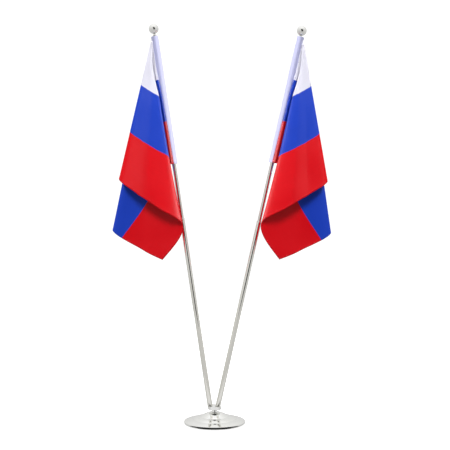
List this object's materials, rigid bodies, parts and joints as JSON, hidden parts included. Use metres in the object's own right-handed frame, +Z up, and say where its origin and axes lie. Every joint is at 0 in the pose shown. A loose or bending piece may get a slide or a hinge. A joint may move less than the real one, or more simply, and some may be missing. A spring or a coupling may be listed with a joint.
{
  "type": "desk flag stand",
  "caption": "Desk flag stand: weighted round chrome base, V hub, telescopic poles with ball finials, and a plain striped satin table flag sleeved on each pole.",
  "frame": {"origin": "centre of the flat face that the stand rests on, under the middle of the round base", "axes": "+Z up, +X to the right in the plane of the two poles, -Y towards the front"},
  "size_m": [0.338, 0.096, 0.6256],
  "materials": {
    "base_chrome": "polished",
    "hub_chrome": "polished",
    "pole_chrome": "polished",
    "finial_chrome": "polished",
    "iron": "matte",
    "steel": "satin",
    "brass": "satin",
    "foam": "matte",
    "sleeve_cloth": "satin",
    "flag_cloth": "satin"
  },
  "bodies": {
    "stand": {"base_shell": "base_chrome", "base_weight": "iron", "base_pad": "foam", "base_nut": "steel", "base_washer": "steel", "hub_collar": "hub_chrome", "pole_hub": "hub_chrome", "left_hub_stud": "steel", "left_end_plug": "steel", "left_lower_tube": "pole_chrome", "left_lip_ring": "pole_chrome", "right_hub_stud": "steel", "right_end_plug": "steel", "right_lower_tube": "pole_chrome", "right_lip_ring": "pole_chrome"},
    "left_upper_pole": {"left_friction_bush": "brass", "left_upper_tube": "pole_chrome", "left_tip_plug": "steel", "left_finial_stem": "finial_chrome", "left_finial_ball": "finial_chrome"},
    "left_flag": {"left_flag_header": "sleeve_cloth", "left_flag_cloth": "flag_cloth"},
    "right_upper_pole": {"right_friction_bush": "brass", "right_upper_tube": "pole_chrome", "right_tip_plug": "steel", "right_finial_stem": "finial_chrome", "right_finial_ball": "finial_chrome"},
    "right_flag": {"right_flag_header": "sleeve_cloth", "right_flag_cloth": "flag_cloth"}
  },
  "joints": [
    {"name": "left_pole_extend", "type": "slide", "parent": "stand", "child": "left_upper_pole", "axis": [-0.1478, 0, 0.989], "range_m": [-0.085, 0.005]},
    {"name": "left_flag_turn", "type": "hinge", "parent": "left_upper_pole", "child": "left_flag", "pos_m": [-0.07906, 0, 0.50789], "axis": [-0.1478, 0, 0.989], "range_deg": [-90, 90]},
    {"name": "right_pole_extend", "type": "slide", "parent": "stand", "child": "right_upper_pole", "axis": [0.2181, 0, 0.9759], "range_m": [-0.09, 0]},
    {"name": "right_flag_turn", "type": "hinge", "parent": "right_upper_pole", "child": "right_flag", "pos_m": [0.11123, 0, 0.50108], "axis": [0.2181, 0, 0.9759], "range_deg": [-90, 90]}
  ]
}
